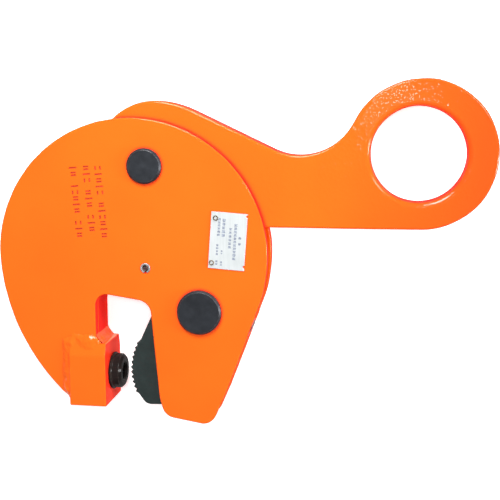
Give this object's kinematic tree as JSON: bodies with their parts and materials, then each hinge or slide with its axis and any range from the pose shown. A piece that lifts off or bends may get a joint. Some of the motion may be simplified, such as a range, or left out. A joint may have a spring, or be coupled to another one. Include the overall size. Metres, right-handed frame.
{
  "type": "plate lifting clamp",
  "caption": "Horizontal plate lifting clamp with two side plates, a ring-ended lifting arm, a linked toothed cam and a round swivel pad in a welded jaw block.",
  "frame": {"origin": "under the centre of the outline, in the plane the clamp's rear faces rest on when it lies on its back", "axes": "+X towards the lifting ring, +Y away from the jaw mouth, +Z the outward normal of the front side plate and the direction of the pivots"},
  "size_m": [0.3154, 0.2207, 0.035],
  "materials": {
    "paint": "gloss orange enamel with light orange peel",
    "black_steel": "black oxide, satin",
    "tool_steel": "dark hardened steel, matt",
    "bright_steel": "bright",
    "bronze": "machined bearing bronze",
    "nameplate_alloy": "satin, printed"
  },
  "bodies": {
    "frame": {"front_side_plate": "paint", "rear_side_plate": "paint", "throat_spacer": "paint", "jaw_block": "paint", "weld_bead_front": "paint", "weld_bead_rear": "paint", "throat_weld": "paint", "pad_screw": "black_steel", "arm_pin": "black_steel", "arm_pin_washer": "bright_steel", "arm_pin_ring": "black_steel", "cam_pin": "black_steel", "cam_pin_washer": "bright_steel", "cam_pin_ring": "black_steel", "spring_pin": "bright_steel", "tension_spring": "bright_steel", "nameplate": "nameplate_alloy", "nameplate_rivet_1": "bright_steel", "nameplate_rivet_2": "bright_steel"},
    "arm": {"lifting_arm": "paint", "arm_bush": "bronze", "arm_link_pin": "bright_steel", "spring_post": "bright_steel"},
    "link": {"link": "tool_steel"},
    "cam": {"cam": "tool_steel", "cam_bush": "bronze", "cam_link_pin": "bright_steel"},
    "pad": {"swivel_pad": "black_steel"}
  },
  "joints": [
    {"name": "arm_pivot", "type": "hinge", "parent": "frame", "child": "arm", "pos_m": [-0.0596, 0.05645, 0.0175], "axis": [0, 0, 1], "range_deg": [-5, 28], "stiffness_Nm_per_rad": 1.5, "deforming": ["tension_spring"]},
    {"name": "link_pivot", "type": "hinge", "parent": "arm", "child": "link", "pos_m": [-0.0346, 0.04445, 0.0175], "axis": [0, 0, 1], "range_deg": [-28, 5]},
    {"name": "cam_pivot", "type": "hinge", "parent": "frame", "child": "cam", "pos_m": [-0.0251, -0.03605, 0.0175], "axis": [0, 0, 1], "range_deg": [-5, 28]},
    {"name": "pad_swivel", "type": "hinge", "parent": "frame", "child": "pad", "pos_m": [-0.0866, -0.08055, 0.0175], "axis": [1, 0, 0], "continuous": true}
  ],
  "couplings": [
    {"joint": "cam_pivot", "follows": "arm_pivot", "ratio": 1},
    {"joint": "link_pivot", "follows": "arm_pivot", "ratio": -1}
  ]
}
